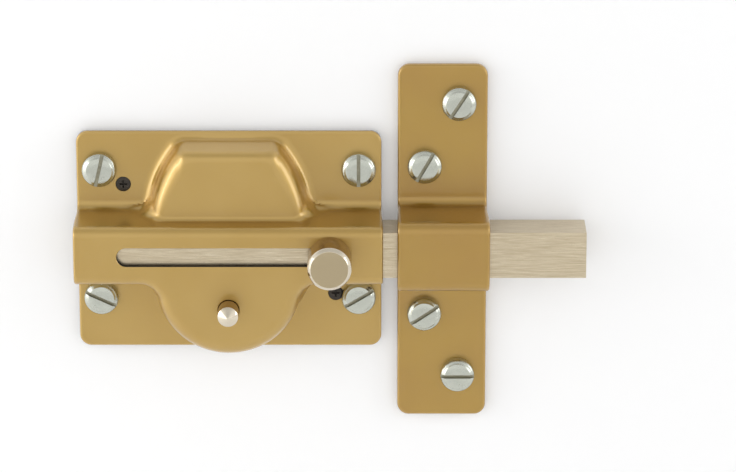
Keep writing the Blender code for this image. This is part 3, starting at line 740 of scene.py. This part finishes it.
def brushed_nickel(name, dark, pale, along, groove_depth, rough):
    """Nickel plate brushed with a belt: fine lines one way, paler and darker, that spread the light across
    them. along is the lines' size in millimetres on each axis, coarser than the grit so that they show."""
    material, tree, shader, on_piece = new_finish(name)
    scale = tuple(per_mm(size) for size in along)
    stretch = add_node(tree, "ShaderNodeMapping", {"Scale": scale}, on_piece)
    lines = add_node(
        tree, "ShaderNodeTexNoise", {"Scale": 1.0, "Detail": 3.0, "Roughness": 0.7},
        {"Vector": (stretch, "Vector")},
    )
    share = add_node(
        tree, "ShaderNodeMapRange", {"From Min": 0.3, "From Max": 0.7}, {"Value": (lines, "Fac")},
    )
    tint = add_node(
        tree, "ShaderNodeMix", {"A": dark, "B": pale}, {"Factor": (share, "Result")}, data_type="RGBA",
    )
    tree.links.new(tint.outputs["Result"], shader.inputs["Base Color"])
    gloss = add_node(
        tree, "ShaderNodeMapRange", {"To Min": rough + 0.08, "To Max": rough - 0.06},
        {"Value": (share, "Result")},
    )
    tree.links.new(gloss.outputs["Result"], shader.inputs["Roughness"])
    groove = add_node(
        tree, "ShaderNodeBump", {"Strength": 0.2, "Distance": groove_depth * MM}, {"Height": (lines, "Fac")},
    )
    tree.links.new(groove.outputs["Normal"], shader.inputs["Normal"])
    shader.inputs["Metallic"].default_value = 1.0
    return material


def bright_metal(name, shade, rough, spot):
    """Bright plated metal: a clean reflection, a little clouded from handling in spots of a given size."""
    material, tree, shader, on_piece = new_finish(name)
    cloud = add_node(tree, "ShaderNodeTexNoise", {"Scale": per_mm(spot), "Detail": 4.0}, on_piece)
    gloss = add_node(
        tree, "ShaderNodeMapRange",
        {"From Min": 0.3, "From Max": 0.7, "To Min": rough * 0.75, "To Max": rough * 1.35},
        {"Value": (cloud, "Fac")},
    )
    tree.links.new(gloss.outputs["Result"], shader.inputs["Roughness"])
    clouded = (*(part * 0.86 for part in shade[:3]), 1.0)
    tint = add_node(
        tree, "ShaderNodeMix", {"A": shade, "B": clouded}, {"Factor": (cloud, "Fac")}, data_type="RGBA",
    )
    tree.links.new(tint.outputs["Result"], shader.inputs["Base Color"])
    shader.inputs["Metallic"].default_value = 1.0
    return material


def bare_edge_painted_shade(colours):
    """The torn, unlacquered edge of a punched hole: dark and rough, with the shear's fine lines, and near
    black as painted shade in the walls of the slot and the button's hole.
    """
    material, tree, shader, on_piece = new_finish("bare_edge_painted_shade")
    tear = add_node(tree, "ShaderNodeTexNoise", {"Scale": per_mm(0.2)}, on_piece)
    lines = add_node(
        tree, "ShaderNodeBump", {"Strength": 0.3, "Distance": 0.05 * MM}, {"Height": (tear, "Fac")},
    )
    tree.links.new(lines.outputs["Normal"], shader.inputs["Normal"])
    shader.inputs["Base Color"].default_value = colours.edge_painted_shade
    shader.inputs["Roughness"].default_value = 0.7
    shader.inputs["Metallic"].default_value = 0.3
    return material


def black_oxide(colours):
    """Blackened steel: a thin dark oxide that still glints, greyer where a driver has rubbed it."""
    material, tree, shader, on_piece = new_finish("black_oxide")
    rub = add_node(tree, "ShaderNodeTexNoise", {"Scale": per_mm(0.7), "Detail": 4.0}, on_piece)
    tint = add_node(
        tree, "ShaderNodeMix", {"A": colours.black, "B": colours.rubbed}, {"Factor": (rub, "Fac")},
        data_type="RGBA",
    )
    tree.links.new(tint.outputs["Result"], shader.inputs["Base Color"])
    gloss = add_node(tree, "ShaderNodeMapRange", {"To Min": 0.3, "To Max": 0.5}, {"Value": (rub, "Fac")})
    tree.links.new(gloss.outputs["Result"], shader.inputs["Roughness"])
    shader.inputs["Metallic"].default_value = 0.6
    return material


def natural_nylon(colours):
    """Moulded nylon: a milky plastic with a faint mould texture."""
    material, tree, shader, on_piece = new_finish("natural_nylon")
    grain = add_node(tree, "ShaderNodeTexNoise", {"Scale": per_mm(0.4)}, on_piece)
    skin = add_node(
        tree, "ShaderNodeBump", {"Strength": 0.15, "Distance": 0.05 * MM}, {"Height": (grain, "Fac")},
    )
    tree.links.new(skin.outputs["Normal"], shader.inputs["Normal"])
    shader.inputs["Base Color"].default_value = colours.nylon
    shader.inputs["Roughness"].default_value = 0.5
    shader.inputs["IOR"].default_value = 1.53
    return material


def make_finishes(colours):
    """All the bolt's finishes, by the name that the pieces ask for."""
    face = colours.nickel_face
    return {
        "gilt": gilt_lacquer("gilt_lacquer_cover", colours.gilt, colours.gilt_deep, colours.gilt_worn),
        "keeper": gilt_lacquer(
            "gilt_lacquer_keeper", colours.keeper_gilt, colours.keeper_deep, colours.keeper_worn,
        ),
        "edge_painted_shade": bare_edge_painted_shade(colours),
        "brushed_bar": brushed_nickel(
            "brushed_nickel_bar", colours.nickel_dark, colours.nickel, (9.0, 0.22, 0.22), 0.008, 0.3,
        ),
        "brushed_face": brushed_nickel("brushed_nickel_face", face, face, (2.0, 0.2, 0.2), 0.006, 0.38),
        "polished": bright_metal("polished_nickel", colours.polished, 0.12, 3.0),
        # The sides of the knob and the button get nickel whose colour paints in the gilt cover's reflection.
        "side_painted_reflection": bright_metal("polished_nickel_painted_reflection", colours.nickel_painted_reflection, 0.18, 3.0),
        "zinc": bright_metal("zinc_plate", colours.zinc, 0.22, 3.5),
        # Darker zinc for the screws' slots: painted shade inside them.
        "zinc_painted_slot_shade": bright_metal("zinc_plate_painted_slot_shade", colours.zinc_painted_slot_shade, 0.45, 0.8),
        "black": black_oxide(colours),
        "steel": bright_metal("rolled_steel", colours.steel, 0.38, 6.0),
        "spring": bright_metal("blued_spring_steel", colours.spring, 0.3, 2.0),
        "nylon": natural_nylon(colours),
    }


CAD_FINISHES = {
    "bolt_bar": "brushed_bar",
    "brake_shoe": "nylon",
    "brake_spring": "spring",
    "detent_spring": "spring",
    "button_clip": "spring",
}


def finish_cad_nodes(finishes):
    """The bar and the pieces inside the case keep their CAD shapes and get their finishes."""
    for name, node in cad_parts.items():
        node.data.materials.clear()
        node.data.materials.append(finishes[CAD_FINISHES.get(name, "steel")])


# ------------------------------------------------------------ studio

def stage_plane(name, corners, material):
    """A flat studio surface through four corners in metres, front side by the right-hand rule."""
    mesh = bpy.data.meshes.new(name)
    mesh.from_pydata(corners, [], [(0, 1, 2, 3)])
    mesh.materials.append(material)
    surface = bpy.data.objects.new(name, mesh)
    bpy.context.scene.collection.objects.link(surface)


def pale_surface(name, shade, one_sided):
    """Matt white card. The upright one lets some light through and is clear from behind, so that the bolt's
    back can be seen."""
    material, tree, shader, _ = new_finish(name)
    shader.inputs["Base Color"].default_value = shade
    shader.inputs["Roughness"].default_value = 0.9
    if one_sided:
        side = add_node(tree, "ShaderNodeNewGeometry")
        clear = add_node(tree, "ShaderNodeBsdfTransparent")
        glow = add_node(tree, "ShaderNodeBsdfTranslucent", {"Color": shade})
        front = add_node(tree, "ShaderNodeMixShader", {0: 0.18}, {1: (shader, "BSDF"), 2: (glow, "BSDF")})
        mixed = add_node(
            tree, "ShaderNodeMixShader", None,
            {0: (side, "Backfacing"), 1: (front, "Shader"), 2: (clear, "BSDF")},
        )
        tree.links.new(mixed.outputs["Shader"], tree.nodes["Material Output"].inputs["Surface"])
    return material


def softbox(name, place, target, size, power, tint):
    """A soft rectangular light in metres and watts, aimed at a point."""
    light = bpy.data.lights.new(name, "AREA")
    light.shape = "RECTANGLE"
    light.size, light.size_y = size
    light.energy = power
    light.color = tint
    lamp = bpy.data.objects.new(name, light)
    lamp.matrix_world = facing(place, target)
    bpy.context.scene.collection.objects.link(lamp)


def facing(place, target):
    """The matrix of a light or camera at a place, looking at a target with +Z up."""
    back = np.array(place, float) - np.array(target, float)
    back /= np.linalg.norm(back)
    right = np.cross((0, 0, 1), back)
    right /= np.linalg.norm(right)
    up = np.cross(back, right)
    matrix = Matrix.Identity(4)
    for column, axis in enumerate((right, up, back)):
        for row in range(3):
            matrix[row][column] = axis[row]
    return Matrix.Translation(place) @ matrix


def studio_dome(round_about, overhead):
    """A white room under a dimmer ceiling: even light from all round, falling off towards the top."""
    world = bpy.data.worlds.new("studio")
    world.use_nodes = True
    tree = world.node_tree
    place = add_node(tree, "ShaderNodeTexCoord")
    parts = add_node(tree, "ShaderNodeSeparateXYZ", None, {"Vector": (place, "Generated")})
    share = add_node(
        tree, "ShaderNodeMapRange",
        {"From Min": 0.45, "From Max": 0.85, "To Min": round_about, "To Max": overhead},
        {"Value": (parts, "Z")}, interpolation_type="SMOOTHSTEP",
    )
    sky = tree.nodes["Background"]
    sky.inputs["Color"].default_value = (1.0, 1.0, 1.0, 1.0)
    tree.links.new(share.outputs["Result"], sky.inputs["Strength"])
    return world


# Metres: where the camera stands, how wide its picture is at the bolt, and where the pale surfaces lie.
CAMERA_DISTANCE, PICTURE_WIDTH = 1.3, 0.2409
CAMERA_TILT = math.radians(17.2)
CARD_DEPTH, FLOOR_HEIGHT, STAGE_REACH = 0.0008, -0.22, 1.6


def build_studio(colours):
    """The camera, the pale floor and card, and the lights."""
    aim = ((BAR.left + 95.16) * MM, 0.0, 1.03 * MM)
    back, rise = CAMERA_DISTANCE * math.cos(CAMERA_TILT), CAMERA_DISTANCE * math.sin(CAMERA_TILT)
    camera = bpy.data.cameras.new("camera")
    camera.sensor_width = 36.0
    camera.lens = camera.sensor_width * CAMERA_DISTANCE / PICTURE_WIDTH
    camera.clip_start = 0.01
    viewer = bpy.data.objects.new("camera", camera)
    viewer.matrix_world = facing((aim[0], aim[1] - back, aim[2] + rise), aim)
    bpy.context.scene.collection.objects.link(viewer)
    bpy.context.scene.camera = viewer

    card, floor, reach = CARD_DEPTH, FLOOR_HEIGHT, STAGE_REACH
    upright = [(-reach, card, floor), (reach, card, floor), (reach, card, reach), (-reach, card, reach)]
    level = [(-reach, -reach, floor), (reach, -reach, floor), (reach, reach, floor), (-reach, reach, floor)]
    stage_plane("card", upright, pale_surface("white_card", colours.card, True))
    stage_plane("floor", level, pale_surface("pale_floor", colours.floor, False))

    middle = (0.0, 0.0, 0.0)
    softbox("key", (-0.72, -0.26, 0.06), middle, (0.6, 0.55), 1.2, (1.0, 0.985, 0.97))
    softbox("key core", (-0.66, -0.24, 0.16), middle, (0.12, 0.34), 0.42, (1.0, 0.99, 1.0))
    softbox("fill", (0.85, -0.25, 0.2), middle, (0.3, 0.45), 1.0, (0.97, 0.98, 1.0))
    bpy.context.scene.world = studio_dome(1.1, 0.72)
    bpy.context.scene.view_settings.view_transform = "Standard"


# ------------------------------------------------------------ operators and panel

FINISHES = {}


class BOLT_OT_finishes(bpy.types.Operator):
    """Make the finishes and put them on the bar and on the pieces inside the case"""

    bl_idname = "bolt.finishes"
    bl_label = "Finishes"

    def execute(self, context):
        FINISHES.update(make_finishes(context.scene.bolt_colours))
        finish_cad_nodes(FINISHES)
        return {"FINISHED"}


class BOLT_OT_cover(bpy.types.Operator):
    """Press the cover from one sheet, with its channel, panel, half-round and holes"""

    bl_idname = "bolt.cover"
    bl_label = "Cover"

    def execute(self, context):
        build_cover(in_millimetres(context.scene.bolt_sizes), FINISHES)
        return {"FINISHED"}


class BOLT_OT_keeper(bpy.types.Operator):
    """Bend the keeper over the bar"""

    bl_idname = "bolt.keeper"
    bl_label = "Keeper"

    def execute(self, context):
        build_keeper(in_millimetres(context.scene.bolt_sizes), FINISHES)
        return {"FINISHED"}


class BOLT_OT_screws(bpy.types.Operator):
    """Make the slotted wood screws and the small cross-recess screws"""

    bl_idname = "bolt.screws"
    bl_label = "Screws"

    def execute(self, context):
        build_wood_screws(in_millimetres(context.scene.bolt_sizes), FINISHES)
        build_cover_screws(in_millimetres(context.scene.bolt_sizes), FINISHES)
        return {"FINISHED"}


class BOLT_OT_controls(bpy.types.Operator):
    """Turn the knob and the button"""

    bl_idname = "bolt.controls"
    bl_label = "Knob and button"

    def execute(self, context):
        build_knob(in_millimetres(context.scene.bolt_sizes), FINISHES)
        build_button(in_millimetres(context.scene.bolt_sizes), FINISHES)
        return {"FINISHED"}


class BOLT_OT_studio(bpy.types.Operator):
    """Set up the camera, the pale surfaces and the lights"""

    bl_idname = "bolt.studio"
    bl_label = "Studio"

    def execute(self, context):
        build_studio(context.scene.bolt_colours)
        return {"FINISHED"}


OPERATORS = (
    BOLT_OT_finishes, BOLT_OT_cover, BOLT_OT_keeper, BOLT_OT_screws, BOLT_OT_controls, BOLT_OT_studio,
)


class BOLT_PT_panel(bpy.types.Panel):
    """Lists the bolt's pieces, sizes and colours"""

    bl_idname = "BOLT_PT_panel"
    bl_label = "Sliding bolt"
    bl_space_type = "VIEW_3D"
    bl_region_type = "UI"
    bl_category = "Bolt"

    def draw(self, context):
        for operator in OPERATORS:
            self.layout.operator(operator.bl_idname)
        for group in (context.scene.bolt_sizes, context.scene.bolt_colours):
            for name in group.bl_rna.properties.keys():
                if name not in ("rna_type", "name"):
                    self.layout.prop(group, name)


CLASSES = (BoltSizes, BoltColours, *OPERATORS, BOLT_PT_panel)


def register():
    """Adds the classes, and the sizes and colours to the scene."""
    for each in CLASSES:
        bpy.utils.register_class(each)
    bpy.types.Scene.bolt_sizes = bpy.props.PointerProperty(type=BoltSizes)
    bpy.types.Scene.bolt_colours = bpy.props.PointerProperty(type=BoltColours)


def unregister():
    """Takes the sizes, the colours and the classes away again."""
    del bpy.types.Scene.bolt_sizes
    del bpy.types.Scene.bolt_colours
    for each in reversed(CLASSES):
        bpy.utils.unregister_class(each)


def main():
    """Builds everything in order."""
    register()
    bpy.ops.bolt.finishes()
    bpy.ops.bolt.cover()
    bpy.ops.bolt.keeper()
    bpy.ops.bolt.screws()
    bpy.ops.bolt.controls()
    bpy.ops.bolt.studio()
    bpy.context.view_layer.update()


if __name__ == "__main__":
    main()
